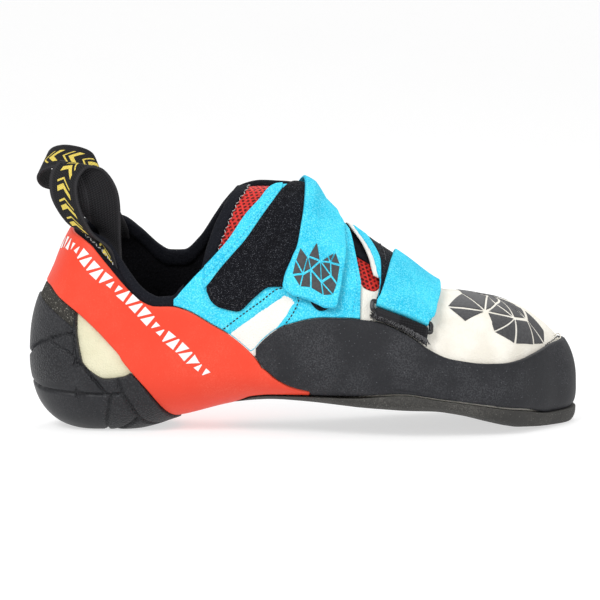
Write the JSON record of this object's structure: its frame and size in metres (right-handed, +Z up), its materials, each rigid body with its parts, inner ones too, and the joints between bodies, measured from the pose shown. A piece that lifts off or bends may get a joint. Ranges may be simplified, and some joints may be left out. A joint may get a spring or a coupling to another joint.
{
  "type": "climbing shoe",
  "caption": "Right velcro climbing shoe with a hollow upper, two straps, a sculpted heel cup, a tension rand, a sharp-edged front sole and pull loops at the heel.",
  "frame": {"origin": "on the floor plane, in the middle of the shoe's length and width", "axes": "+X from heel to toe, +Y to the inner side of the foot, +Z up"},
  "size_m": [0.2513, 0.0913, 0.1319],
  "materials": {
    "upper": "matte, slightly brushed",
    "insole": "matte",
    "outsole": "matte, sharp-edged",
    "rand": "matte, dusty",
    "tension_rand": "matte",
    "heel_rubber": "matte, sculpted",
    "suede": "napped",
    "loop_field": "fuzzy",
    "mesh": "open mesh",
    "webbing": "woven",
    "ring": "gloss"
  },
  "bodies": {
    "root": {"upper": "upper", "insole": "insole", "outsole": "outsole", "toe_rand": "rand", "heel_rand": "tension_rand", "heel_cup": "heel_rubber", "quarter_lateral": "suede", "quarter_medial": "suede", "loop_patch": "loop_field", "tongue": "mesh", "throat_flap": "suede", "strap_base": "loop_field", "instep_strap": "suede", "forefoot_strap": "suede", "strap_anchor": "webbing", "strap_ring": "ring", "pull_loop_lateral": "webbing", "pull_loop_medial": "webbing"}
  },
  "joints": []
}
